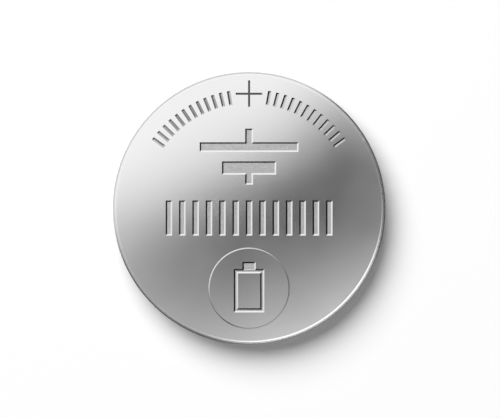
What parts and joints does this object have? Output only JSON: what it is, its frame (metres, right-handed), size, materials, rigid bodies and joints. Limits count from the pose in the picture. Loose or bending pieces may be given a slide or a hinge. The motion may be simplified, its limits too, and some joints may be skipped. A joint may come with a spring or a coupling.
{
  "type": "lithium coin cell",
  "caption": "Flat round lithium cell: a satin steel can with a rounded edge, crimped over a stepped cap with a plastic gasket between them, and the electrodes inside.",
  "frame": {"origin": "centre of the negative cap's flat face, on the cell's axis", "axes": "+Z along the cell's axis from the negative face to the positive face; +Y towards the plus sign at the top of the positive face; +X to the right as that face is read"},
  "size_m": [0.03, 0.03, 0.0032],
  "materials": {
    "can_steel": "satin",
    "gasket_plastic": "matte",
    "cap_steel": "satin",
    "lithium_metal": "matte",
    "separator_fabric": "matte",
    "cathode_mix": "matte",
    "collector_steel": "satin"
  },
  "bodies": {
    "root": {"positive_can": "can_steel", "gasket": "gasket_plastic", "negative_cap": "cap_steel", "lithium_anode": "lithium_metal", "separator": "separator_fabric", "cathode_pellet": "cathode_mix", "collector_ring": "collector_steel"}
  },
  "joints": []
}
